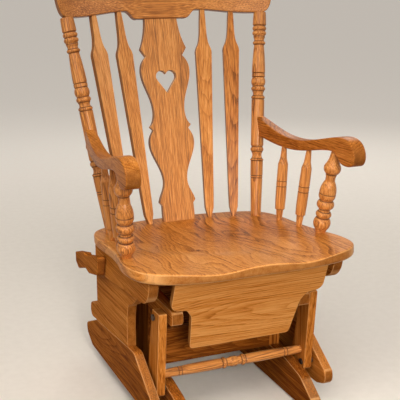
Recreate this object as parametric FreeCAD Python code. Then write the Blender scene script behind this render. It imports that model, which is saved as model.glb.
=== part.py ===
import FreeCAD, Part
import math
import os

V = FreeCAD.Vector
os.makedirs("parts", exist_ok=True)

# Driving dimensions, millimetres. X is across, Y runs to the back, Z is up, the floor is Z = 0.
TILT = 4.2               # backward slope of the seat and of the frame under it, degrees
SEAT_TOP = 424.0         # height of the seat's top above the floor at Y = 0
SEAT_T = 28.0            # seat thickness
SCOOP_DEPTH = 9.0        # depth of the hollow in the seat
LEG_DEPTH = 8.5          # depth of the two leg hollows at the seat's front edge
LEG_X = 118.0            # distance of each leg hollow from the middle
SHIFT_Y = -17.755        # moves the whole part so that its box is centred over the origin

PIVOT_FRONT = -178.0     # Y of the front pivots
PIVOT_REAR = 234.0       # Y of the rear pivots
PIVOT_TOP = 288.0        # height of the upper pivots
PIVOT_LOW = 96.0         # height of the lower pivots
BOLT_R = 4.0             # pivot bolt shank radius
BORE_R = 4.05            # bearing bore radius
BEAR_R = 8.0             # bearing outer radius

BASE_IN = 160.0          # inner face of the fixed frames
BASE_OUT = 190.0         # outer face of the fixed frames
LINK_IN = 197.0          # inner face of the links
LINK_OUT = 220.0         # outer face of the links
OUT_IN = 228.0           # inner face of the moving side frames
OUT_OUT = 253.0          # outer face of the moving side frames
RAIL_IN = 236.0          # inner face of the rails under the seat
RAIL_OUT = 262.0         # outer face of the rails under the seat

BASE_FRONT = -305.0      # front tip of the feet on the floor
BASE_BACK = 338.0        # rear tip of the feet on the floor
BASE_MID = (PIVOT_FRONT + PIVOT_REAR) / 2.0
FOOT_H = 102.0           # height of the feet under the uprights
RAIL_Z0 = 272.0          # underside of the fixed top rails
RAIL_Z1 = 312.0          # top of the fixed top rails
PAD_T = 4.0              # thickness of the floor pads
PAD_FRONT = -240.0       # Y of the front pads
PAD_BACK = 296.0         # Y of the rear pads
RAIL_LOW = 319.5         # lower edge of the rails under the seat, at Y = 0
FOOT_TOP = 162.0         # upper edge of the lower rails, at Y = 0
SIDE_SLOPE = 0.108       # backward slope of both edges
STRETCH_Z = 128.0        # height of the turned stretchers
STRETCH_FRONT = PIVOT_FRONT + 10.0
STRETCH_REAR = PIVOT_REAR - 10.0
LEVER_Y = 108.0          # Y of the hand lever's bolt
LEVER_Z = 345.0          # height of the hand lever's bolt
LEVER_IN = RAIL_OUT + 3.0
LEVER_OUT = LEVER_IN + 21.0

BACK_LEAN = 13.0         # backward lean of the crest rail, degrees
BACK_R = 680.0           # radius of the back's curve seen from above
CREST_Y = 350.0          # middle of the crest rail, Y
CREST_Z = 974.0          # middle of the crest rail's lower edge, Z
CREST_T = 25.0           # crest rail thickness
POST_FOOT = (220.0, 156.0)
POST_HEAD = (287.0, 286.0)
SPLAT_T = 18.0           # thickness of the splat
SPLAT_Y = 209.0          # Y of the splat's foot on the seat
HEART_S = 363.5          # height of the heart's tip along the splat
BAR_T = 18.0             # thickness of the flat arrow bars
BAR_FEET = (92.0, 160.0)
BAR_HEADS = (127.0, 208.0)

SKIRT_T = 16.0
SKIRT_RAKE = 21.0        # backward rake of the front skirt, degrees

SLOPE = math.tan(math.radians(TILT))


def seat_z(y):
    return SEAT_TOP - SLOPE * y


def under_z(y):
    return seat_z(y) - SEAT_T / math.cos(math.radians(TILT))


def save(name, shape):
    shape = shape.copy()
    shape.translate(V(0, SHIFT_Y, 0))
    shape.exportStep("parts/" + name + ".step")
    print(name, len(shape.Solids), round(shape.Volume / 1000.0, 1))


def mirror_x(shape):
    return shape.mirror(V(0, 0, 0), V(1, 0, 0))


def rounded(points, put):
    """Closed wire through (u, v, corner radius) points, laid in space by put(u, v)."""
    count = len(points)
    starts, ends, mids = [], [], []
    for i in range(count):
        u, v, r = points[i]
        pu, pv, _ = points[i - 1]
        nu, nv, _ = points[(i + 1) % count]
        a = V(pu - u, pv - v, 0)
        b = V(nu - u, nv - v, 0)
        a.normalize()
        b.normalize()
        half = math.acos(max(-1.0, min(1.0, a.dot(b)))) / 2.0
        if r <= 0 or half > math.pi / 2 - 1e-4:
            starts.append(V(u, v, 0))
            ends.append(V(u, v, 0))
            mids.append(None)
            continue
        reach = r / math.tan(half)
        axis = a + b
        axis.normalize()
        centre = V(u, v, 0) + axis * (r / math.sin(half))
        starts.append(V(u, v, 0) + a * reach)
        ends.append(V(u, v, 0) + b * reach)
        mids.append(centre - axis * r)
    edges = []
    for i in range(count):
        if mids[i] is not None:
            p, m, q = [put(point.x, point.y) for point in (starts[i], mids[i], ends[i])]
            arc = Part.Arc(p, m, q)
            edges.append(arc.toShape())
        p = ends[i]
        q = starts[(i + 1) % count]
        if (p - q).Length > 1e-4:
            edges.append(Part.makeLine(put(p.x, p.y), put(q.x, q.y)))
    return Part.Wire(edges)


def plate_x(points, x0, x1):
    """Board lying in the YZ plane, between x0 and x1."""
    face = Part.Face(rounded(points, lambda u, v: V(x0, u, v)))
    return face.extrude(V(x1 - x0, 0, 0))


def soften(shape, radius, pick):
    edges = [e for e in shape.Edges if pick(e)]
    return shape.makeFillet(radius, edges)


def eased(shape, radius):
    """Round the edges that lie wholly in one of a board's two broad faces."""
    box = shape.BoundBox
    planes = (box.XMin, box.XMax)

    def pick(e):
        b = e.BoundBox
        return any(abs(b.XMin - x) < 1e-3 and abs(b.XMax - x) < 1e-3 for x in planes)
    return soften(shape, radius, pick)


def smooth(t):
    t = max(0.0, min(1.0, t))
    return t * t * (3.0 - 2.0 * t)


def along(a, b, turn=0.0):
    """Placement whose Z runs from a to b and whose Y stays as near to the back as it can."""
    z = b - a
    z.normalize()
    y = V(math.sin(turn), math.cos(turn), 0)
    y = y - z * y.dot(z)
    y.normalize()
    x = y.cross(z)
    m = FreeCAD.Matrix(x.x, y.x, z.x, a.x, x.y, y.y, z.y, a.y, x.z, y.z, z.z, a.z, 0, 0, 0, 1)
    return FreeCAD.Placement(m)


def turned(steps):
    """Solid of revolution about Z. A step is (s, r) for a straight run or (sm, rm, s, r) for an arc."""
    s0, r0 = steps[0]
    edges = [Part.makeLine(V(0, 0, s0), V(r0, 0, s0))]
    last = V(r0, 0, s0)
    for step in steps[1:]:
        if len(step) == 2:
            here = V(step[1], 0, step[0])
            edges.append(Part.makeLine(last, here))
        else:
            here = V(step[3], 0, step[2])
            edges.append(Part.Arc(last, V(step[1], 0, step[0]), here).toShape())
        last = here
    edges.append(Part.makeLine(last, V(0, 0, last.z)))
    edges.append(Part.makeLine(V(0, 0, last.z), V(0, 0, s0)))
    return Part.Face(Part.Wire(edges)).revolve(V(0, 0, 0), V(0, 0, 1), 360)


def bead(s0, s1, r, lift):
    """Rounded ring between two heights, standing out by lift."""
    return [(s0, r), ((s0 + s1) / 2.0, r + lift, s1, r)]


def rod_x(x0, x1, y, z, r):
    return Part.makeCylinder(r, x1 - x0, V(x0, y, z), V(1, 0, 0))


# Seat: saddle plan with rounded front corners, waist at the sides and wider rear lobes.
half_plan = [(0, -350), (95, -351), (178, -341), (250, -311), (287, -267), (298, -215), (297, -166),
             (289, -116), (281, -55), (278, 25), (277, 95), (271, 148), (250, 196), (200, 230), (105, 252)]
half_plan.append((0, 258))
rim_right = Part.BSplineCurve()
rim_right.interpolate([V(x, y, -SEAT_T) for x, y in half_plan], InitialTangent=V(1, 0, 0),
                      FinalTangent=V(-1, 0, 0))
rim_left = Part.BSplineCurve()
rim_left.interpolate([V(-x, y, -SEAT_T) for x, y in reversed(half_plan)], InitialTangent=V(-1, 0, 0),
                     FinalTangent=V(1, 0, 0))
seat = Part.Face(Part.Wire([rim_right.toShape(), rim_left.toShape()])).extrude(V(0, 0, SEAT_T + 12))


def hollow(x, y):
    """Depth of the saddle at a point of the plan: a round bowl and two leg hollows."""
    e = (x / 236.0) ** 2 + ((y + 22.0) / 224.0) ** 2
    bowl = SCOOP_DEPTH * smooth(1.5 * (1.0 - e))
    near = math.exp(-((x - LEG_X) / 72.0) ** 2) + math.exp(-((x + LEG_X) / 72.0) ** 2)
    legs = LEG_DEPTH * near * smooth((-y - 60.0) / 160.0)
    return (bowl ** 4 + legs ** 4) ** 0.25


grid = []
for i in range(23):
    x = -330.0 + 30.0 * i
    grid.append([V(x, -390.0 + 30.0 * j, -hollow(x, -390.0 + 30.0 * j)) for j in range(24)])
saddle = Part.BSplineSurface()
saddle.interpolate(grid)
seat = seat.cut(saddle.toShape().extrude(V(0, 0, 60)))
seat = soften(seat, 5.0, lambda e: e.BoundBox.ZMin > -SEAT_T + 6)
seat = soften(seat, 9.0, lambda e: e.BoundBox.ZMax < -SEAT_T + 1e-3)
seat.Placement = FreeCAD.Placement(V(0, 0, SEAT_TOP), FreeCAD.Rotation(V(1, 0, 0), -TILT))

# Turned back posts, flared outward and leaning back.
post_a = V(POST_FOOT[0], POST_FOOT[1], seat_z(POST_FOOT[1]))
post_b = V(POST_HEAD[0], POST_HEAD[1], CREST_Z)
post_l = (post_b - post_a).Length
post_steps = [(-16, 14.0), (0, 14.6), (105.5, 17.3), (107.5, 16.2), (109, 17.5), (112.5, 17.6), (114, 16.4),
              (115.5, 17.8), (156, 18.0)]
post_steps += bead(157, 164, 16.8, 2.4)
post_steps += [(173, 13.6, 183, 16.0)]
post_steps += bead(185, 197, 16.2, 2.8)
post_steps += [(200, 16.2), (203, 18.4), (334, 18.6)]
post_steps += bead(337, 346, 17.0, 2.8)
post_steps += [(352, 14.8, 359, 16.8)]
post_steps += bead(361, 373, 17.2, 3.0)
post_steps += [(375, 16.8), (377, 18.2), (387, 20.6, 397, 18.6), (400, 17.4), (402, 19.0), (410, 19.0),
               (411.5, 17.6), (414, 19.2), (452, 17.8, 492, 14.4)]
post_steps += bead(495, 504, 15.4, 3.0)
post_steps += [(509, 14.4, 515, 16.6), (519, 16.4)]
post_steps += bead(522, 534, 17.2, 2.8)
post_steps += bead(536, 548, 17.2, 2.8)
post_steps += [(550, 17.2), (552, 19.4), (572, 18.8), (post_l + 8.6, 17.8), (post_l + 9, 9.5),
               (post_l + 34, 9.5)]
post = turned(post_steps)
post.Placement = along(post_a, post_b)

# Back frame used by the crest rail, the splat and the flat bars.
lean = math.radians(BACK_LEAN)
crest_place = FreeCAD.Placement(V(0, CREST_Y, CREST_Z), FreeCAD.Rotation(V(1, 0, 0), -BACK_LEAN))


def crest_point(x, h):
    return crest_place.multVec(V(x, math.sqrt(BACK_R ** 2 - x ** 2) - BACK_R, h))


# Crest rail: sawn outline bent to the back's curve.
low = [[(68, -7), (84, -3), (93, 7), (104, 14.5)],
       [(104, 14.5), (135, 13), (185, 5.5), (235, -2), (284, -6)]]
end = [(284, -6), (302, -2), (312, 15), (318, 44), (322, 66)]
top = [(322, 66), (290, 68), (255, 76), (210, 92), (160, 105), (100, 112), (0, 114),
       (-100, 112), (-160, 105), (-210, 92), (-255, 76), (-290, 68), (-322, 66)]


def curve(points):
    c = Part.BSplineCurve()
    c.interpolate([V(x, -140, h) for x, h in points])
    return c.toShape()


def flip(points):
    return [(-x, h) for x, h in reversed(points)]


crest_edges = [Part.makeLine(V(-68, -140, -7), V(68, -140, -7))]
crest_edges += [curve(p) for p in low]
crest_edges += [curve(end), curve(top), curve(flip(end))]
crest_edges += [curve(flip(low[1])), curve(flip(low[0]))]
crest = Part.Face(Part.Wire(crest_edges)).extrude(V(0, 240, 0))
ring = Part.makeCylinder(BACK_R + CREST_T / 2, 300, V(0, -BACK_R, -80))
ring = ring.cut(Part.makeCylinder(BACK_R - CREST_T / 2, 300, V(0, -BACK_R, -80)))
crest = crest.common(ring)
crest = soften(crest, 3.0, lambda e: e.Length > 26)
crest.Placement = crest_place

# Splat with its heart.
splat_a = V(0, SPLAT_Y, seat_z(SPLAT_Y))
splat_b = crest_place.multVec(V(0, 0, 0))
splat_l = (splat_b - splat_a).Length
side_runs = [[(48, -10), (47.5, 20), (47, 45)],
             [(47, 45), (50.3, 49.5), (54, 54.5)],
             [(54, 54.5), (46, 76), (37.5, 96), (35, 112), (39, 139), (54, 176), (65, 206), (67, 221),
              (64, 241), (56, 256), (53, 261)],
             [(53, 261), (57, 265), (61.5, 270.5)],
             [(61.5, 270.5), (53, 282), (47.5, 300), (46.5, 316), (52, 349), (66, 389), (73, 418), (71, 444),
              (61, 463), (55, 469.5)],
             [(55, 469.5), (62, 479.5), (69, 491)],
             [(69, 491), (59, 516), (51, 550), (48.5, 604)]]


def splat_curve(points):
    c = Part.BSplineCurve()
    c.interpolate([V(x, -SPLAT_T / 2, s) for x, s in points])
    return c.toShape()


splat_edges = [splat_curve(p) for p in side_runs]
splat_edges.append(Part.makeLine(V(48.5, -SPLAT_T / 2, 604), V(-48.5, -SPLAT_T / 2, 604)))
splat_edges += [splat_curve(flip(p)) for p in reversed(side_runs)]
splat_edges.append(Part.makeLine(V(-48, -SPLAT_T / 2, -10), V(48, -SPLAT_T / 2, -10)))
splat = Part.Face(Part.Wire(splat_edges)).extrude(V(0, SPLAT_T, 0))
heart_r = 16.0
heart_top = 48.5
heart_x = 14.5
heart = Part.makeCylinder(heart_r, 40, V(heart_x, -20, heart_top), V(0, 1, 0))
heart = heart.fuse(Part.makeCylinder(heart_r, 40, V(-heart_x, -20, heart_top), V(0, 1, 0)))
reach = math.hypot(heart_x, heart_top)
bend = math.atan2(heart_top, heart_x) - math.asin(heart_r / reach)
touch = math.sqrt(reach ** 2 - heart_r ** 2)
tip = [V(0, -20, 0), V(touch * math.cos(bend), -20, touch * math.sin(bend)), V(heart_x, -20, heart_top),
       V(-heart_x, -20, heart_top), V(-touch * math.cos(bend), -20, touch * math.sin(bend)), V(0, -20, 0)]
heart = heart.fuse(Part.Face(Part.makePolygon(tip)).extrude(V(0, 40, 0))).removeSplitter()
heart.translate(V(0, 0, HEART_S))
splat = splat.cut(heart)
splat = soften(splat, 1.2, lambda e: e.BoundBox.YLength < 1e-3 and e.BoundBox.ZLength > 1)
splat.Placement = along(splat_a, splat_b)


# Flat arrow bars of the back.
def arrow_bar(foot_x, head_x):
    a_y = SPLAT_Y - foot_x ** 2 / 900.0
    a = V(foot_x, a_y, seat_z(a_y))
    b = crest_point(head_x, 14)
    n = (b - a).Length
    half = [(5, -10), (5.5, 2), (12, 26), (13.5, 60), (16.5, 190), (19, 290), (23.4, n - 129)]
    neck = [(23.4, n - 129), (23.6, n - 121), (21.4, n - 112), (16.5, n - 101), (13.2, n - 90), (11, n - 76),
            (9.8, n - 61), (8.6, n - 33), (6.9, n - 5), (6.4, n + 16)]
    pts = [V(x, -BAR_T / 2, s) for x, s in half]
    edges = [Part.makeLine(pts[i], pts[i + 1]) for i in range(len(pts) - 1)]
    c = Part.BSplineCurve()
    c.interpolate([V(x, -BAR_T / 2, s) for x, s in neck])
    edges.append(c.toShape())
    edges.append(Part.makeLine(V(6.4, -BAR_T / 2, n + 16), V(-6.4, -BAR_T / 2, n + 16)))
    c = Part.BSplineCurve()
    c.interpolate([V(-x, -BAR_T / 2, s) for x, s in reversed(neck)])
    edges.append(c.toShape())
    pts = [V(-x, -BAR_T / 2, s) for x, s in reversed(half)]
    edges += [Part.makeLine(pts[i], pts[i + 1]) for i in range(len(pts) - 1)]
    edges.append(Part.makeLine(V(-5, -BAR_T / 2, -10), V(5, -BAR_T / 2, -10)))
    bar = Part.Face(Part.Wire(edges)).extrude(V(0, BAR_T, 0))
    bar = soften(bar, 2.0, lambda e: e.BoundBox.YLength < 1e-3 and e.BoundBox.ZLength > 5)
    bar.Placement = along(a, b, -(foot_x + head_x) / 2.0 / BACK_R * -1.0)
    return bar


bars = {}
for number, i in ((3, 0), (4, 1)):
    bars["back_bar_%d" % number] = arrow_bar(BAR_FEET[i], BAR_HEADS[i])
bars["back_bar_2"] = mirror_x(bars["back_bar_3"])
bars["back_bar_1"] = mirror_x(bars["back_bar_4"])

# Arms: scroll profile from the side, swelling outline from above.
arm_side = [(216, 694), (150, 678), (85, 664), (40, 660), (-20, 663), (-76, 674), (-140, 690), (-190, 701),
            (-222, 702), (-250, 692), (-265, 674), (-267, 654), (-258, 640), (-242, 634), (-223, 633),
            (-207, 636.5), (-196, 645), (-186, 654), (-172, 659), (-150, 659), (-112, 653), (-70, 644),
            (-5, 632), (78, 628), (140, 632), (216, 640)]
arm_curve = Part.BSplineCurve()
arm_curve.interpolate([V(225, y, z) for y, z in arm_side])
arm_wire = Part.Wire([arm_curve.toShape(), Part.makeLine(V(225, 216, 640), V(225, 216, 694))])
arm = Part.Face(arm_wire).extrude(V(120, 0, 0))
arm_in = [(243, 204), (247, 140), (254, 60), (261, -20), (268, -110), (273, -190), (275, -240), (277, -282)]
arm_out = [(312, -282), (313, -235), (311, -190), (305, -110), (297, -20), (288, 60), (278, 140), (270, 204)]
c_in = Part.BSplineCurve()
c_in.interpolate([V(x, y, 590) for x, y in arm_in])
c_out = Part.BSplineCurve()
c_out.interpolate([V(x, y, 590) for x, y in arm_out])
arm_wire = Part.Wire([c_in.toShape(), Part.makeLine(V(277, -282, 590), V(312, -282, 590)), c_out.toShape(),
                      Part.makeLine(V(270, 204, 590), V(243, 204, 590))])
arm = arm.common(Part.Face(arm_wire).extrude(V(0, 0, 140)))
arm = soften(arm, 4.0, lambda e: e.Length > 60 and e.BoundBox.YMin < 190)

# Turned front posts of the arms.
fp_a = V(270, -128, seat_z(-128))
fp_b = V(288, -164, 664)
n = (fp_b - fp_a).Length
q = n / 232.0
fp_steps = [(-15, 11.6), (0, 12.2), (12 * q, 16.8), (28 * q, 23.0, 42 * q, 18.0), (44 * q, 16.0)]
fp_steps += bead(45.5 * q, 60 * q, 17.0, 3.8)
fp_steps += [(62 * q, 15.0), (68 * q, 15.0)]
fp_steps += bead(70 * q, 91 * q, 18.0, 5.0)
fp_steps += [(93 * q, 16.6), (95 * q, 18.6), (102 * q, 21.8, 109.5 * q, 22.2), (111 * q, 20.8),
             (112.5 * q, 22.2), (130 * q, 19.8, 146 * q, 12.8), (156 * q, 12.8), (163 * q, 14.6),
             (164.5 * q, 13.4), (166 * q, 14.8), (168 * q, 17.6), (180 * q, 22.4, 192 * q, 18.2),
             (204 * q, 13.4), (n, 9.6), (n + 14, 9.4)]
front_post = turned(fp_steps)
front_post.Placement = along(fp_a, fp_b)


# Thin turned spindles between seat and arm.
def arm_spindle(foot, head):
    a = V(foot[0], foot[1], seat_z(foot[1]))
    b = V(*head)
    length = (b - a).Length
    m = length / 212.0
    steps = [(-14, 6.8), (0, 7.4), (31 * m, 10.2), (33 * m, 13.6), (60 * m, 14.6), (97 * m, 14.8),
             (98.5 * m, 13.6), (100 * m, 14.8), (112 * m, 14.8), (113.5 * m, 13.6), (115 * m, 14.8),
             (162 * m, 14.0), (178 * m, 9.6), (length, 6.8), (length + 12, 6.6)]
    s = turned(steps)
    s.Placement = along(a, b)
    return s


spindle_a = arm_spindle((246, 60), (262, 68, 629))
spindle_b = arm_spindle((257, -35), (276, -46, 640))

# Rails under the seat, side panels and lower rails of the moving frame.
def rail_low(y):
    return RAIL_LOW - SIDE_SLOPE * y


def foot_line(y):
    return FOOT_TOP - SIDE_SLOPE * y


side_rail = plate_x([(-262, under_z(-262), 0), (-262, rail_low(-262), 62), (172, rail_low(172), 14),
                     (172, under_z(172), 0)], RAIL_IN, RAIL_OUT)
side_rail = eased(side_rail, 3.0)
panel = plate_x([(-143, rail_low(-143), 0), (-143, rail_low(-143) - 10, 6), (-104, 298, 0), (-75, 286, 14),
                 (-64, 250, 20), (-64, foot_line(-64), 0), (270, foot_line(270), 20),
                 (270, foot_line(270) + 44, 22), (202, foot_line(202) + 50, 6), (203, rail_low(203), 0)],
                OUT_IN, OUT_OUT - 1)
panel = eased(panel, 2.0)
lower_rail = plate_x([(-205, 40, 30), (-254, 57, 24), (-248, 90, 18), (-112, foot_line(-112), 30),
                      (214, foot_line(214), 40), (316, 94, 12), (312, 66, 26), (262, 40, 30)],
                     OUT_IN, OUT_OUT)
lower_rail = eased(lower_rail, 4.0)

# Front skirt: broad shouldered board, raked back at its lower edge.
skirt_pts = [(-206, 0, 0), (-206, -106, 22), (-164, -111, 10), (-149, -134, 22), (-138, -242, 12),
             (138, -242, 12), (149, -134, 22), (164, -111, 10), (206, -106, 22), (206, 0, 0)]
skirt = Part.Face(rounded(skirt_pts, lambda u, v: V(u, 0, v))).extrude(V(0, SKIRT_T, 0))
skirt = soften(skirt, 2.5, lambda e: e.BoundBox.YMax - e.BoundBox.YMin < 1e-3)
skirt_y = -296.0
skirt.Placement = FreeCAD.Placement(V(0, skirt_y, under_z(skirt_y) + 10),
                                    FreeCAD.Rotation(V(1, 0, 0), SKIRT_RAKE))
trim = Part.makeBox(500, 200, 60, V(-250, -100, 0))
trim.Placement = FreeCAD.Placement(V(0, skirt_y, under_z(skirt_y)), FreeCAD.Rotation(V(1, 0, 0), -TILT))
skirt = skirt.cut(trim)

# Cross rail under the back of the seat.
cross = plate_x([(146, under_z(146), 0), (146, under_z(146) - 52, 3), (168, under_z(168) - 52, 3),
                 (168, under_z(168), 0)], -RAIL_IN, RAIL_IN)

# Fixed base: feet, uprights, top rails and cross planks.
foot_pts = [(BASE_FRONT + 6, PAD_T, 8), (BASE_FRONT, 40, 22), (BASE_FRONT + 70, FOOT_H - 16, 70),
            (BASE_MID - 178, FOOT_H, 60), (BASE_MID + 158, FOOT_H, 60), (BASE_BACK, 36, 14),
            (BASE_BACK - 6, PAD_T, 8)]
foot = plate_x(foot_pts, BASE_IN, BASE_OUT)
foot = eased(foot, 4.0)
u0 = BASE_MID - 90
u1 = BASE_MID + 90
upright = plate_x([(u0, FOOT_H, 0), (u0, 140, 0), (u0 + 16, 190, 60), (u0, RAIL_Z0, 0), (u1, RAIL_Z0, 0),
                   (u1 - 16, 190, 60), (u1, 140, 0), (u1, FOOT_H, 0)], BASE_IN, BASE_OUT)
top_rail = plate_x([(BASE_MID - 254, RAIL_Z0, 16), (BASE_MID - 254, RAIL_Z1, 16),
                    (BASE_MID + 254, RAIL_Z1, 16), (BASE_MID + 254, RAIL_Z0, 16)], BASE_IN, BASE_OUT)
top_rail = eased(top_rail, 3.0)


def plank(y0, y1, height):
    return Part.makeBox(2 * BASE_IN, y1 - y0, height, V(-BASE_IN, y0, 100))


plank_front = plank(u0 + 2, u0 + 24, 98)
plank_rear = plank(u1 - 24, u1 - 2, 162)
pads = []
for side in (-1, 1):
    for y in (PAD_FRONT, PAD_BACK):
        x = side * (BASE_IN + BASE_OUT) / 2
        pads.append(Part.makeCylinder(10, PAD_T, V(x, y, 0)))


# Links, their turned stretcher, bearings, bolts and spacers.
def link(y):
    way = 1.0 if y < BASE_MID else -1.0
    pts = [(y - 35 * way, PIVOT_TOP + 18, 6), (y + 13 * way, PIVOT_TOP + 18, 6),
           (y + 52 * way, PIVOT_LOW + 28, 40), (y + 36 * way, PIVOT_LOW - 20, 24),
           (y - 13 * way, PIVOT_LOW - 20, 10)]
    body = eased(plate_x(pts, LINK_IN, LINK_OUT), 3.0)
    for z in (PIVOT_LOW, PIVOT_TOP):
        body = body.cut(rod_x(LINK_IN - 1, LINK_OUT + 1, y, z, BEAR_R))
    return body


def bearing(y, z):
    ring = rod_x(LINK_IN, LINK_OUT, y, z, BEAR_R)
    return ring.cut(rod_x(LINK_IN - 1, LINK_OUT + 1, y, z, BORE_R))


half_bar = [(0, 13.0), (6, 13.6), (12, 11.2), (20, 11.2)]
half_bar += bead(22, 32, 11.6, 3.2)
half_bar += [(34, 11.6), (38, 12.8), (80, 13.4, 144, 12.0), (145.5, 10.8), (147, 12.0), (153, 12.0),
             (154.5, 10.8), (156, 12.0), (190, 10.8), (LINK_IN, 9.5), (LINK_IN + 16, 9.5)]
stretch = turned(half_bar)
stretch = stretch.fuse(stretch.mirror(V(0, 0, 0), V(0, 0, 1))).removeSplitter()


def stretcher(y):
    s = stretch.copy()
    s.Placement = FreeCAD.Placement(V(0, y, STRETCH_Z), FreeCAD.Rotation(V(0, 1, 0), 90))
    return s


def upper_bolt(y):
    b = rod_x(BASE_IN - 4, LINK_OUT + 1, y, PIVOT_TOP, BOLT_R)
    b = b.fuse(rod_x(LINK_OUT + 0.6, LINK_OUT + 4.6, y, PIVOT_TOP, 8))
    return b.fuse(rod_x(BASE_IN - 4, BASE_IN, y, PIVOT_TOP, 7.5)).removeSplitter()


def lower_bolt(y):
    b = rod_x(LINK_IN - 2, OUT_IN + 17, y, PIVOT_LOW, BOLT_R)
    return b.fuse(rod_x(LINK_IN - 4.4, LINK_IN - 0.6, y, PIVOT_LOW, 8)).removeSplitter()


def spacer(x0, x1, y, z):
    return rod_x(x0, x1, y, z, 7.5).cut(rod_x(x0 - 1, x1 + 1, y, z, BOLT_R))


both = (PIVOT_FRONT, PIVOT_REAR)
upper_bolts = [upper_bolt(y) for y in both]
lower_bolts = [lower_bolt(y) for y in both]
upper_spacers = [spacer(BASE_OUT, LINK_IN - 0.5, y, PIVOT_TOP) for y in both]
lower_spacers = [spacer(LINK_OUT + 0.5, OUT_IN, y, PIVOT_LOW) for y in both]
for y in both:
    top_rail = top_rail.cut(rod_x(BASE_IN - 1, BASE_OUT + 1, y, PIVOT_TOP, BOLT_R))
    lower_rail = lower_rail.cut(rod_x(OUT_IN - 1, OUT_IN + 17, y, PIVOT_LOW, BOLT_R))

# Hand lever on the left rail under the seat, with its bolt and washer.
lever = plate_x([(66, 376, 9), (80, 320, 12), (160, 301, 14), (192, 306, 0), (262, 283, 18), (290, 296, 6),
                 (291, 324, 4), (203, 346, 2), (194, 342, 0)], -LEVER_OUT, -LEVER_IN)
lever = eased(lever, 1.8)
lever = lever.cut(rod_x(-LEVER_OUT - 1, -LEVER_IN + 1, LEVER_Y, LEVER_Z, 4.05))
lever_bolt = rod_x(-LEVER_IN - 15, -RAIL_IN - 6, LEVER_Y, LEVER_Z, 4.0)
lever = lever.fuse(rod_x(-LEVER_OUT, -LEVER_IN - 16, LEVER_Y, LEVER_Z, 6)).removeSplitter()
lever_washer = rod_x(-LEVER_IN + 0.5, -RAIL_OUT, LEVER_Y, LEVER_Z, 9)
lever_washer = lever_washer.cut(rod_x(-LEVER_IN - 1, -RAIL_OUT + 1, LEVER_Y, LEVER_Z, 4.0))
side_rail_left = mirror_x(side_rail).cut(lever_bolt)

# Sockets: each round or flat end sits in a hole of its own shape.
post_left = mirror_x(post)
front_left = mirror_x(front_post)
arm = arm.cut(post).cut(front_post).cut(spindle_a).cut(spindle_b)
arm_left = mirror_x(arm)
for tool in [post, post_left, splat, front_post, front_left, spindle_a, mirror_x(spindle_a), spindle_b,
             mirror_x(spindle_b)] + list(bars.values()):
    seat = seat.cut(tool)
for tool in [post, post_left, splat] + list(bars.values()):
    crest = crest.cut(tool)
link_front = link(PIVOT_FRONT).cut(stretcher(STRETCH_FRONT))
link_rear = link(PIVOT_REAR).cut(stretcher(STRETCH_REAR))


def pair(shapes):
    out = []
    for s in shapes:
        out += [mirror_x(s), s]
    return Part.makeCompound(out)


# Write every node.
save("seat", seat)
save("crest_rail", crest)
save("splat", splat)
for name in sorted(bars):
    save(name, bars[name])
save("back_post_right", post)
save("back_post_left", post_left)
save("arm_right", arm)
save("arm_left", arm_left)
save("arm_post_right", front_post)
save("arm_post_left", front_left)
save("arm_spindle_right_1", spindle_a)
save("arm_spindle_right_2", spindle_b)
save("arm_spindle_left_1", mirror_x(spindle_a))
save("arm_spindle_left_2", mirror_x(spindle_b))
save("seat_rail_right", side_rail)
save("seat_rail_left", side_rail_left)
save("side_panel_right", panel)
save("side_panel_left", mirror_x(panel))
save("lower_rail_right", lower_rail)
save("lower_rail_left", mirror_x(lower_rail))
save("front_skirt", skirt)
save("rear_cross_rail", cross)
save("lower_bolts", pair(lower_bolts))
save("lower_spacers", pair(lower_spacers))
save("lever_bolt", lever_bolt)
save("lever_washer", lever_washer)
save("hand_lever", lever)
save("foot_right", foot)
save("foot_left", mirror_x(foot))
save("upright_right", upright)
save("upright_left", mirror_x(upright))
save("top_rail_right", top_rail)
save("top_rail_left", mirror_x(top_rail))
save("cross_plank_front", plank_front)
save("cross_plank_rear", plank_rear)
save("floor_pads", Part.makeCompound(pads))
save("upper_bolts", pair(upper_bolts))
save("upper_spacers", pair(upper_spacers))
save("front_link_right", link_front)
save("front_link_left", mirror_x(link_front))
save("front_stretcher", stretcher(STRETCH_FRONT))
save("front_bearings", pair([bearing(PIVOT_FRONT, PIVOT_TOP), bearing(PIVOT_FRONT, PIVOT_LOW)]))
save("rear_link_right", link_rear)
save("rear_link_left", mirror_x(link_rear))
save("rear_stretcher", stretcher(STRETCH_REAR))
save("rear_bearings", pair([bearing(PIVOT_REAR, PIVOT_TOP), bearing(PIVOT_REAR, PIVOT_LOW)]))
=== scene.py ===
# %% [markdown]
# # A golden oak glider rocker
# The solids of the chair come ready made: seat, back, arms, side frames, links and bolts share one frame.
# What is left for this lesson is the look: oak that follows each board and each turned post, with some
# painted light and shade, scorched lines in the turnings that also paint the shade in their grooves, metal
# and pads for the fittings, and a quiet studio with the right camera.

# %% Load the solids
import math

import bpy
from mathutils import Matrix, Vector


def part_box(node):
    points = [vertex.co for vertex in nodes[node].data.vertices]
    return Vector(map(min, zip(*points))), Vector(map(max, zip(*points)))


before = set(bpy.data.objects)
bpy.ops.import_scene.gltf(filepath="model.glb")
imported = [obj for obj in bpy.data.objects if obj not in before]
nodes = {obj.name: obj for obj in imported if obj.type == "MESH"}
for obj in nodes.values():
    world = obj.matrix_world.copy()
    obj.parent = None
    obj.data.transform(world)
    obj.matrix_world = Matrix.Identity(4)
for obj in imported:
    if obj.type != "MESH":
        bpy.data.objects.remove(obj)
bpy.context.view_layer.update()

# %% [markdown]
# ## The camera
# The photograph was taken from the front, to the left of the middle and from a little above the crest,
# whose top lies outside it. A fit to points that come in pairs, such as the two arm noses, gave where the
# camera stood, how it was tilted and its focal length in pixels. The picture is square, so the lens follows
# from that length and half the frame.

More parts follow.
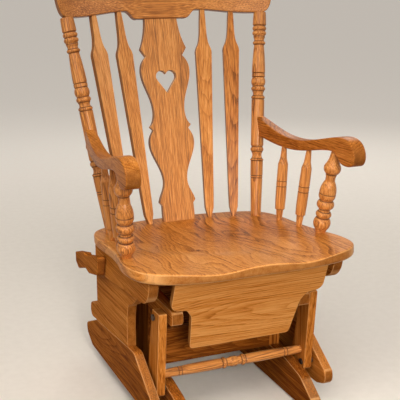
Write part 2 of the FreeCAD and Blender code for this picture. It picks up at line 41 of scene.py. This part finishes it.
# %% Camera at the photograph's place
SENSOR = 36.0
FOCAL_PIXELS = 931.0
HALF_FRAME = 200.0
EYE_AT = (-0.944, -2.201755, 1.158)
TILT_DOWN = math.radians(15.04)
TURN = math.radians(-22.89)
lens = SENSOR / 2 * FOCAL_PIXELS / HALF_FRAME
eye = bpy.data.cameras.new("eye")
eye.lens = lens
eye.sensor_width = SENSOR
eye.clip_end = 200.0
camera = bpy.data.objects.new("eye", eye)
camera.location = EYE_AT
camera.rotation_euler = (math.pi / 2 - TILT_DOWN, 0.0, TURN)
bpy.context.scene.collection.objects.link(camera)
bpy.context.scene.camera = camera
print("lens", round(lens, 1), "mm")

# %% [markdown]
# ## Shader maths as plain sums
# A grain pattern is mostly arithmetic on a point's position. Wiring dozens of Math nodes by hand hides
# that, so a small class wraps a socket: adding or multiplying two of them adds the node. Everything that is
# not arithmetic comes from one method, which sets a node's options first and then its sockets.

# %% A socket that can be added and multiplied
class Wire:
    def __init__(self, tree, socket):
        self.tree = tree
        self.socket = socket

    def node(self, kind, out, inputs, stops=None, **settings):
        made = self.tree.nodes.new(kind)
        for key, value in settings.items():
            setattr(made, key, value)
        if stops:
            ramp = made.color_ramp
            while len(ramp.elements) < len(stops):
                ramp.elements.new(0.5)
            for element, (place, colour) in zip(ramp.elements, stops):
                element.position = place
                element.color = (*colour, 1.0)
        for key, value in inputs.items():
            if isinstance(value, Wire):
                self.tree.links.new(value.socket, made.inputs[key])
            else:
                made.inputs[key].default_value = value
        return Wire(self.tree, made.outputs[out])

    def math(self, operation, *others):
        return self.node("ShaderNodeMath", 0, dict(enumerate((self, *others))), operation=operation)

    def __add__(self, other):
        return self.math("ADD", other)

    def __sub__(self, other):
        return self.math("SUBTRACT", other)

    def __mul__(self, other):
        return self.math("MULTIPLY", other)

    def __pow__(self, other):
        return self.math("POWER", other)

    def __rsub__(self, other):
        return self.node("ShaderNodeMath", 0, {0: other, 1: self}, operation="SUBTRACT")

    __radd__ = __add__
    __rmul__ = __mul__

    def mixed(self, colour, share):
        """This colour, with a share of another one."""
        return self.node("ShaderNodeMix", 2, {0: share, 6: self, 7: colour}, data_type="RGBA")

    def between(self, low, high):
        """0 below low, 1 above high, a soft step between."""
        return self.node("ShaderNodeMapRange", 0, {"Value": self, "From Min": low, "From Max": high},
                         interpolation_type="SMOOTHSTEP")

    def stretched(self, x, y, z):
        """A position scaled differently along each axis."""
        return self.node("ShaderNodeVectorMath", 0, {0: self, 1: (x, y, z)}, operation="MULTIPLY")

    def cloud(self, detail=2.0):
        """Soft noise at this position."""
        return self.node("ShaderNodeTexNoise", "Fac", {"Vector": self, "Scale": 1.0, "Detail": detail})


def finish_on(name, **fixed):
    """A new material: its tree's position wire and its surface shader."""
    made = bpy.data.materials.new(name)
    made.use_nodes = True
    tree = made.node_tree
    surface = tree.nodes["Principled BSDF"]
    for key, value in fixed.items():
        surface.inputs[key.replace("_", " ")].default_value = value
    coords = tree.nodes.new("ShaderNodeTexCoord")
    return made, Wire(tree, coords.outputs["Object"]), surface


def feed(surface, **wires):
    """Link wires to the shader's own sockets."""
    for key, wire in wires.items():
        wire.tree.links.new(wire.socket, surface.inputs[key.replace("_", " ")])


print("sockets can be added")

# %% [markdown]
# ## Oak
# A board is a slice of a log. Its figure is the log's yearly rings, cut at a slant: near the middle of the
# log the slice meets them flat and shows the tall arches called cathedrals, further out it shows straight
# stripes. Painting stripes would look the same on every board, so the material rebuilds the log instead.
# Each point is turned into the board's own axes, its distance from the log's middle gives the ring it is
# in, and slow noise bends the rings. Oak starts each year with a row of open pores that drink the stain, so
# every ring begins with a dark line broken into dashes, strong in some years and faint in others. Long thin
# noise adds the streaks along the grain. Sawn ends, which are all pores, turn out darkest, the narrow
# faces of thin boards get painted shade, and rounded edges are made pale, partly as wear and partly as a
# painted highlight: all three come from the surface normal, turned into the board's axes like the position.
# Some boards need more: the rings of the broad seat swirl, its middle gets painted shade and so is darker
# than its rim, and the back and the turnings get a pale painted reflection. The lacquer is a thin coat over
# a nearly matt surface, because a strong mirror at a flat angle would veil the colour. Each noise below is
# given as its waves in a metre, twice across the board and then along the grain.

# %% The log inside each board
OAK = [(0.0, (0.71, 0.315, 0.085)), (0.36, (0.57, 0.200, 0.034)), (0.68, (0.36, 0.104, 0.013)),
       (1.0, (0.14, 0.034, 0.004))]
# The scorch colour marks scorched lines and also paints the shade in the turnings' grooves.
SCORCH_AND_GROOVE_SHADE = (0.075, 0.020, 0.005, 1.0)
# The end grain colour darkens sawn ends and also paints shade on the narrow faces of thin boards.
END_GRAIN_AND_SIDE_SHADE = (0.150, 0.046, 0.009, 1.0)
# The pale edge colour is partly wear and partly a painted highlight on rounded edges.
WORN_AND_HIGHLIGHT = (0.80, 0.44, 0.17, 1.0)
# The pale colour is a painted reflection on the lacquer, mixed into the back and the turnings.
PAINTED_REFLECTION_PALE = (0.74, 0.41, 0.19, 1.0)
PORES = (0.11, 0.030, 0.005, 1.0)
SLOW_NOISE = (5.0, 5.0, 1.6)
SWIRL_NOISE = (11.0, 11.0, 5.0)
BEND_NOISE = (40.0, 40.0, 6.0)
BROAD_NOISE = (70.0, 70.0, 3.0)
STREAK_NOISE = (560.0, 560.0, 9.0)
DASH_NOISE = (700.0, 700.0, 26.0)
PORE_NOISE = (1500.0, 1500.0, 55.0)
MEAN_TONE = 0.27
STRIP_SHIFT, STRIP_SLIDE, STRIP_TONE = 0.31, 0.8, 0.16
# The seat's painted shade is full inside the first distance and gone beyond the second.
MIDDLE_SHADE_FULL, MIDDLE_SHADE_GONE = 0.08, 0.32
MIRROR, COAT, PORE_COAT = 0.16, 0.09, 0.07


def axis_turn(along):
    """Turn that carries Z onto a direction."""
    return Vector((0, 0, 1)).rotation_difference(Vector(along)).to_euler()


def own_axes(wire, along, origin=(0, 0, 0)):
    """A position or a normal as seen from a board whose grain runs along its own Z, split in three."""
    inputs = {"Vector": wire, "Location": origin, "Rotation": axis_turn(along)}
    turned = wire.node("ShaderNodeMapping", 0, inputs, vector_type="TEXTURE")
    split = turned.node("ShaderNodeSeparateXYZ", 0, {0: turned}).socket.node
    return [Wire(wire.tree, socket) for socket in split.outputs]


def rings_of(x, y, z, heart, rings, slant, seed, wander, sharp):
    """A point of the log, its slow noise, and the dark line at the start of each year."""
    point = x.node("ShaderNodeCombineXYZ", 0, {0: x + seed, 1: y + seed * 0.7, 2: z + seed * 1.9})
    slow = point.stretched(*SLOW_NOISE).cloud(1.0)
    bend = point.stretched(*BEND_NOISE).cloud(2.0)
    swirl = point.stretched(*SWIRL_NOISE).cloud(1.0) - 0.5
    across = x - heart[0] + slow * 0.06 - 0.03
    deep = y - heart[1] + z * slant + slow * 0.05 - 0.025
    age = (across * across + deep * deep) ** 0.5 * rings + bend * 1.3 + slow * 2.0 + swirl * wander
    year = age.math("FRACT")
    count = age.math("FLOOR") + seed
    vigour = count.node("ShaderNodeTexWhiteNoise", "Value", {"W": count}, noise_dimensions="1D")
    dash = point.stretched(*DASH_NOISE).cloud(2.0).between(0.38, 0.60)
    rise = year.between(0.0, 0.24 / sharp)
    line = (1 - year) ** sharp * rise * (vigour * 0.8 + 0.2) * (dash * 0.75 + 0.25)
    return point, slow, line


def oak(name, origin, along, heart, rings, seed, shade, streaks, strip=0.0, slant=0.04, figure=1.0,
        wander=0.0, sharp=3.0, side_shade=0.0, flat=True, painted_reflection=0.08, middle_shade=0.0, gloss=1.0, sheen=1.0, scorch_and_shade_at=()):
    """Lacquered oak whose grain runs along a direction through origin, all in metres.

    The log: heart is where its middle lies beside the board, rings its years in a metre, slant its tilt,
    wander the swirl of its rings and sharp how thin their lines are.
    The board: strip is the width of glued strips, shade makes it darker, partly for its own tone and partly
    as painted light and shade, figure and streaks are the strength of its lines and streaks, sawn paints
    shade on its narrow faces, flat gives it pale edges that are partly wear and partly a painted highlight,
    faded mixes in a pale painted reflection and hollow paints shade on its middle.
    The finish: gloss is the coat, sheen the mirror under it, burns the heights of scorched lines that also
    paint the shade in the grooves.
    """
    made, place, surface = finish_on(name, IOR=1.45, Specular_IOR_Level=MIRROR * sheen, Coat_Roughness=0.12)
    x, y, z = own_axes(place, along, origin)
    # The shade darkens the tone, partly for the board's own tone and partly as painted light and shade.
    lift = shade
    # Painted shade on the seat's middle, a little towards the back, fading out towards the rim.
    if middle_shade:
        off_middle = (x * x + z * z) ** 0.5
        lift = (1 - off_middle.between(MIDDLE_SHADE_FULL, MIDDLE_SHADE_GONE)) * middle_shade + shade
    if strip:
        board = (x * (1 / strip) + seed).math("FLOOR")
        chance = board.node("ShaderNodeTexWhiteNoise", "Value", {"W": board + seed}, noise_dimensions="1D")
        x = x + chance * STRIP_SHIFT - STRIP_SHIFT / 2
        z = z + chance * STRIP_SLIDE
        lift = chance * STRIP_TONE - STRIP_TONE / 2 + lift
    facing = Wire(place.tree, place.socket.node.outputs["Normal"])
    sides = [side.math("ABSOLUTE") for side in own_axes(facing, along)]
    end = sides[2].between(0.55, 1.0)
    point, slow, line = rings_of(x, y, z, heart, rings, slant, seed, wander, sharp)
    line = line * (1 - end * 0.75)
    broad = point.stretched(*BROAD_NOISE).cloud(2.0)
    streak = point.stretched(*STREAK_NOISE).cloud(3.0)
    pore = point.stretched(*PORE_NOISE).cloud(1.0).between(0.56, 0.66)
    tone = line * figure + (streak - 0.5) * streaks + (broad - 0.5) * 0.6 + (slow - 0.5) * 0.4
    tone = tone + MEAN_TONE + lift
    # A pale painted reflection is mixed into the colour.
    colour = tone.node("ShaderNodeValToRGB", 0, {0: tone}, stops=OAK).mixed(PAINTED_REFLECTION_PALE, painted_reflection)
    colour = colour.mixed(PORES, pore * (line * 0.6 + 0.18))
    colour = colour.mixed(END_GRAIN_AND_SIDE_SHADE, end * (broad * 0.3 + 0.45))
    # Painted shade on the narrow faces of thin boards.
    if side_shade:
        colour = colour.mixed(END_GRAIN_AND_SIDE_SHADE, sides[0].between(0.6, 0.95) * (broad * 0.3 + side_shade))
    # Pale rounded edges: partly wear, partly a painted highlight.
    if flat:
        square = sides[0].math("MAXIMUM", sides[1]).math("MAXIMUM", sides[2])
        edge = 1 - square.between(0.73, 0.90)
        colour = colour.mixed(WORN_AND_HIGHLIGHT, edge * (broad * 0.7 + 0.1))
    rough = pore * 0.14 + streak * 0.14 + end * 0.15 + 0.25
    # Dark bands at the given heights: scorched lines that also paint the shade in the grooves.
    if scorch_and_shade_at:
        gap = (z - scorch_and_shade_at[0]).math("ABSOLUTE")
        for at in scorch_and_shade_at[1:]:
            gap = gap.math("MINIMUM", (z - at).math("ABSOLUTE"))
        scorch_and_shade = 1 - gap.between(0.0004, 0.0018)
        colour = colour.mixed(SCORCH_AND_GROOVE_SHADE, scorch_and_shade * 0.85)
        rough = rough + scorch_and_shade * 0.2
    grain = 1 - line * 0.5 - pore * 0.5
    bump = grain.node("ShaderNodeBump", 0, {"Height": grain, "Strength": 0.14, "Distance": 0.0004})
    coat = COAT * gloss - pore * (PORE_COAT * gloss)
    feed(surface, Base_Color=colour, Roughness=rough, Normal=bump, Coat_Weight=coat)
    return made


def dress(material, *names):
    """Give pieces this material and no other."""
    for name in names:
        nodes[name].data.materials.clear()
        nodes[name].data.materials.append(material)


def middle(name):
    """The middle of a piece's box."""
    low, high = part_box(name)
    return (low + high) / 2


print("oak ramp stops", len(OAK))

# %% [markdown]
# ## Boards of the seat and the back
# The seat is glued up from strips that run from front to back, so its grain does too, and each strip comes
# from another place in the log. The crest rail's grain runs across the chair. The splat and the four flat
# bars are tall boards, so theirs runs up along the lean of the back. The splat is glued up too, from
# narrower strips. The two bars on the right were cut nearer to the middle of a log and show arches, the
# others straight stripes. So each row for a bar holds its number, its flare to the side, the log's middle,
# the log's slant, a shade and how much pale painted reflection it gets.

# %% Seat, crest rail, splat and flat bars
ACROSS, BACK, UP = (1, 0, 0), (0, 1, 0), (0, 0, 1)
# The seat gets painted shade on its middle; the crest, splat and bars get a pale painted reflection and
# painted shade on their narrow faces.
dress(oak("oak_seat", (0.02, 0.07, 0.42), BACK, heart=(0.02, 0.04), rings=62, seed=6.4, strip=0.23,
          slant=0.06, shade=-0.05, figure=0.95, streaks=0.9, wander=9.0, sharp=1.3, painted_reflection=0.0, middle_shade=0.28,
          gloss=0.8, sheen=0.3), "seat")
dress(oak("oak_crest", (0, 0.31, 1.03), ACROSS, heart=(0.16, 0.0), rings=210, seed=7.7, slant=0.012,
          shade=0.15, streaks=2.1, side_shade=0.3, flat=False, painted_reflection=0.1), "crest_rail")
lean = Vector((0, 0.123, 0.568)).normalized()
dress(oak("oak_splat", middle("splat"), lean, heart=(0.09, 0.12), rings=250, seed=1.3, strip=0.055,
          slant=0.01, shade=0.16, figure=1.1, streaks=2.4, side_shade=0.45, painted_reflection=0.18), "splat")
BARS = (
    (1, -0.10, 0.085, 0.01, 0.02, 0.16),
    (2, -0.06, 0.085, 0.01, 0.02, 0.16),
    (3, 0.06, 0.014, 0.025, 0.07, 0.1),
    (4, 0.10, 0.012, 0.05, 0.27, 0.04),
)
for number, flare, heart, slant, shade, painted_reflection in BARS:
    bar = "back_bar_%d" % number
    along_bar = Vector((flare, 0.19, 0.97)).normalized()
    dress(oak("oak_bar_%d" % number, middle(bar), along_bar, heart=(heart, 0.045), rings=200,
              seed=11.0 + 2.3 * number, slant=slant, shade=shade, figure=0.9, streaks=2.1, side_shade=0.45,
              painted_reflection=painted_reflection, sheen=0.5), bar)
print("seat and back dressed")

# %% [markdown]
# ## Turned posts, spindles and stretchers
# On a lathe a wire held against the spinning wood scorches a thin dark line, and every groove lies in shade.
# Both sit at fixed heights along the turning, so the oak takes a list of heights and darkens a narrow band
# at each: a scorched line that also paints the shade in the groove. Posts and spindles lean, so each row of
# the table holds the foot and the head of one on the right, and the left one mirrors it. The heights on a
# stretcher count from its middle.

# %% Turnings with scorched lines and painted groove shade
def turning(name, foot, head, heights, seed):
    """Glossy oak along a turning with a pale painted reflection, scorched and with painted groove shade at
    heights in millimetres from its foot.
    """
    foot, head = Vector(foot), Vector(head)
    scorch_and_shade_at = [height / 1000.0 for height in heights]
    dress(oak("oak_" + name, foot, (head - foot).normalized(), heart=(0.035, 0.02), rings=220, seed=seed,
              shade=0.08, figure=1.3, streaks=2.0, flat=False, gloss=1.8, scorch_and_shade_at=scorch_and_shade_at), name)


POST_LINES = (107.5, 114, 157, 164, 184, 198.5, 336, 346, 360, 374, 400, 411.5, 494, 504.5, 518, 535, 549)
ARM_POST_LINES = (43.5, 61.5, 68, 92.5, 112, 166)
SPINDLE_LINES = (32, 98, 113)
TURNINGS = (
    ("back_post_%s", (0.220, 0.1382, 0.4125), (0.287, 0.2682, 0.974), POST_LINES, 21),
    ("arm_post_%s", (0.270, -0.1458, 0.4334), (0.288, -0.1818, 0.664), ARM_POST_LINES, 31),
    ("arm_spindle_%s_1", (0.246, 0.0422, 0.4196), (0.262, 0.0502, 0.629), SPINDLE_LINES, 41),
    ("arm_spindle_%s_2", (0.257, -0.0528, 0.4266), (0.276, -0.0638, 0.640), SPINDLE_LINES, 51),
)
for side, sign in (("right", 1), ("left", -1)):
    for name, foot, head, heights, seed in TURNINGS:
        turning(name % side, (foot[0] * sign, *foot[1:]), (head[0] * sign, *head[1:]), heights, seed + sign)
BAR_LINES = (-154.5, -145.5, -33, -21, 21, 33, 145.5, 154.5)
for name, seed in (("front_stretcher", 61), ("rear_stretcher", 67)):
    turning(name, middle(name), middle(name) + Vector(ACROSS), BAR_LINES, seed)
print("turnings dressed")

# %% [markdown]
# ## Arms, moving side frames and base
# These are sawn boards with their grain along the longest edge. The log's middle lies behind each board's
# broad face, which puts the arches where they show. Boards differ in tone, and the shade also paints light
# and shade on them: it is higher for the boards near the floor, in the hollow under the seat and for the
# right arm, as painted shade, and lower for the skirt under the seat's edge, as painted light. So each row
# of the table holds the grain's direction, the log's middle, its slant and a shade.
# Hands polish the arms, so their coat and mirror are stronger than those of the dull boards.

# %% Sawn boards
# The last column is partly each board's tone and partly painted light and shade.
BOARDS = {
    "arm_right": (BACK, (0.05, 0.09), 0.02, 0.3),
    "arm_left": (BACK, (-0.05, 0.09), 0.02, 0.18),
    "seat_rail_right": (BACK, (0.05, 0.02), 0.03, 0.26),
    "seat_rail_left": (BACK, (-0.05, 0.02), 0.03, 0.26),
    "side_panel_right": (BACK, (0.09, 0.01), 0.03, 0.2),
    "side_panel_left": (BACK, (-0.09, 0.01), 0.03, 0.22),
    "lower_rail_right": (BACK, (0.08, 0.015), 0.03, 0.3),
    "lower_rail_left": (BACK, (-0.08, -0.015), 0.03, 0.42),
    "front_skirt": (ACROSS, (0.0, 0.05), 0.06, -0.1),
    "rear_cross_rail": (ACROSS, (0.02, 0.05), 0.05, 0.1),
    "foot_right": (BACK, (0.05, 0.02), 0.03, 0.62),
    "foot_left": (BACK, (-0.05, 0.02), 0.03, 0.46),
    "upright_right": (UP, (0.05, 0.02), 0.03, 0.4),
    "upright_left": (UP, (-0.05, 0.01), 0.03, 0.5),
    "top_rail_right": (BACK, (0.05, 0.02), 0.03, 0.28),
    "top_rail_left": (BACK, (-0.05, 0.02), 0.03, 0.28),
    "cross_plank_front": (ACROSS, (0.02, 0.06), 0.08, 0.56),
    "cross_plank_rear": (ACROSS, (-0.02, 0.06), 0.08, 0.2),
    "front_link_right": (UP, (0.05, 0.06), 0.02, 0.28),
    "front_link_left": (UP, (-0.05, 0.06), 0.02, 0.24),
    "rear_link_right": (UP, (0.05, -0.06), 0.02, 0.15),
    "rear_link_left": (UP, (-0.05, -0.06), 0.02, 0.15),
    "hand_lever": (BACK, (-0.05, 0.02), 0.02, 0.42),
}
ROUNDED = ("arm_right", "arm_left", "hand_lever")
FIGURED = {"front_skirt": 0.85, "cross_plank_front": 1.0, "cross_plank_rear": 1.0, "arm_right": 0.9,
           "arm_left": 0.9}
PLAIN_FIGURE = 0.6
# Painted shade on the skirt's narrow edges.
SIDE_SHADE = {"front_skirt": 0.35}
POLISHED = {"arm_right": (1.4, 0.15), "arm_left": (1.4, 0.15)}
DULL = (0.5, 0.0)
for count, (name, (along, heart, slant, shade)) in enumerate(BOARDS.items()):
    gloss, sheen = POLISHED.get(name, DULL)
    dress(oak("oak_" + name, middle(name), along, heart=heart, rings=170 + 9 * (count % 5),
              seed=71 + 3.7 * count, slant=slant, shade=shade, figure=FIGURED.get(name, PLAIN_FIGURE),
              streaks=1.2, side_shade=SIDE_SHADE.get(name, 0.0), flat=name not in ROUNDED, painted_reflection=0.0, gloss=gloss,
              sheen=sheen), name)
print("boards dressed", len(BOARDS))

# %% [markdown]
# ## Metal and pads
# The pivots are steel bolts in dark sleeves, and each foot stands on a small felt pad.
# The bolts are painted dark brown as shade around the pivots, and cloudy noise moves their tint and
# roughness. Felt is matt and speckled.

# %% Fittings
# The bolts' dark brown is painted shade around the pivots.
STEEL_SHADE_BROWN = [(0.3, (0.055, 0.036, 0.024)), (0.7, (0.11, 0.075, 0.05))]
SLEEVE_BLACK = [(0.3, (0.018, 0.016, 0.014)), (0.7, (0.035, 0.031, 0.027))]
FELT_GREY = [(0.3, (0.09, 0.07, 0.05)), (0.7, (0.2, 0.165, 0.125))]


def cloudy(name, waves, detail, tints, smooth, spread, **fixed):
    """A finish whose tint and roughness drift with one noise of so many waves in a metre."""
    made, place, surface = finish_on(name, **fixed)
    patch = place.stretched(waves, waves, waves).cloud(detail)
    tint = patch.node("ShaderNodeValToRGB", 0, {0: patch}, stops=tints)
    feed(surface, Base_Color=tint, Roughness=patch * spread + smooth)
    return made, patch, surface


shaded_steel, patch, surface = cloudy("steel_painted_shade", 160.0, 3.0, STEEL_SHADE_BROWN, 0.35, 0.3, Metallic=1.0)
dress(shaded_steel, "upper_bolts", "upper_spacers", "lower_bolts", "lower_spacers", "lever_bolt", "lever_washer")
sleeve, patch, surface = cloudy("dark_sleeve", 300.0, 3.0, SLEEVE_BLACK, 0.4, 0.2)
dress(sleeve, "front_bearings", "rear_bearings")
felt, fibre, surface = cloudy("felt", 900.0, 4.0, FELT_GREY, 0.88, 0.1)
fuzz = fibre.node("ShaderNodeBump", 0, {"Height": fibre, "Strength": 0.5, "Distance": 0.0006})
feed(surface, Normal=fuzz)
dress(felt, "floor_pads")
print("fittings dressed")

# %% [markdown]
# ## Studio
# A pale floor, an even sky and one broad lamp, high in front and to the left. Weaker lamps stand to the
# left, to the right and behind, so that no side of the chair is lost in the dark, and one with a narrow
# beam looks under the seat's front edge, which shades the skirt and the links. A white floor would throw so
# much light up that the hollows under the seat lose their depth. Floor and sky are pale to the camera and
# to reflections, and darker to the light that bounces, so the oak keeps the colour it is written with. Far
# from the chair the floor also glows a little to the camera, because the lamps do not reach there, and near
# the chair it does not, so its shadow stays.

# %% Floor, sky and lamps
import bmesh


def seen_directly(tree):
    """1 for what the camera sees, straight or in a reflection, 0 for bounced light."""
    path = tree.nodes.new("ShaderNodeLightPath")
    eye_ray, gloss_ray, glass_ray = [Wire(tree, path.outputs[name]) for name in (
        "Is Camera Ray", "Is Glossy Ray", "Is Transmission Ray")]
    return (eye_ray + gloss_ray + glass_ray).math("MINIMUM", 1.0)


FLOOR_HALF = 45.0
FLOOR_PALE = [(0.3, (0.78, 0.71, 0.62)), (0.7, (0.81, 0.74, 0.65))]
FLOOR_BOUNCE = (0.15, 0.11, 0.08, 1.0)
FLOOR_GLOW = (0.26, 0.24, 0.22, 1.0)
GLOW_STARTS, GLOW_FULL = 0.8, 3.5
SKY_BOUNCE, SKY_EXTRA = 0.30, 0.15
mesh = bpy.data.meshes.new("floor")
flat = bmesh.new()
bmesh.ops.create_grid(flat, x_segments=1, y_segments=1, size=FLOOR_HALF)
flat.to_mesh(mesh)
flat.free()
floor = bpy.data.objects.new("floor", mesh)
bpy.context.scene.collection.objects.link(floor)
paint, place, surface = finish_on("pale_floor", Roughness=0.75, Emission_Strength=1.0)
shown = seen_directly(paint.node_tree)
speck = place.stretched(40.0, 40.0, 40.0).cloud(3.0)
pale = speck.node("ShaderNodeValToRGB", 0, {0: speck}, stops=FLOOR_PALE)
away = place.node("ShaderNodeVectorMath", "Value", {0: place}, operation="LENGTH")
far = away.between(GLOW_STARTS, GLOW_FULL) * shown
shine = far.node("ShaderNodeMix", 2, {0: far, 6: (0, 0, 0, 1), 7: FLOOR_GLOW}, data_type="RGBA")
feed(surface, Base_Color=pale.mixed(FLOOR_BOUNCE, 1 - shown), Emission_Color=shine)
mesh.materials.append(paint)

sky = bpy.data.worlds.new("studio")
bpy.context.scene.world = sky
sky.use_nodes = True
glow = sky.node_tree.nodes["Background"]
glow.inputs["Color"].default_value = (1.0, 0.985, 0.96, 1.0)
strength = seen_directly(sky.node_tree) * SKY_EXTRA + SKY_BOUNCE
sky.node_tree.links.new(strength.socket, glow.inputs["Strength"])


def lamp(name, at, aim, size, watts, colour, beam=180.0):
    """A round lamp that looks at a point, with a beam as wide as an angle in degrees."""
    light = bpy.data.lights.new(name, "AREA")
    light.shape = "DISK"
    light.size = size
    light.energy = watts
    light.color = colour
    light.spread = math.radians(beam)
    made = bpy.data.objects.new(name, light)
    made.location = at
    made.rotation_euler = (Vector(aim) - Vector(at)).to_track_quat("-Z", "Y").to_euler()
    bpy.context.scene.collection.objects.link(made)


lamp("key", (-1.1, -1.9, 2.9), (0, 0, 0.7), 2.6, 67.0, (1.0, 0.975, 0.94))
lamp("side", (2.4, -1.6, 2.2), (0, 0, 0.6), 1.4, 12.0, (0.97, 0.98, 1.0))
lamp("behind", (1.8, 2.4, 2.3), (0, 0, 0.6), 1.8, 26.0, (1.0, 0.98, 0.95))
lamp("front", (-0.6, -2.9, 1.3), (0, -0.25, 0.2), 1.0, 3.6, (1.0, 0.97, 0.93), beam=38.0)
lamp("left", (-3.0, -1.0, 1.9), (0, 0, 0.4), 2.0, 28.0, (1.0, 0.97, 0.93))
bpy.context.scene.view_settings.view_transform = "Standard"
print("studio lit")
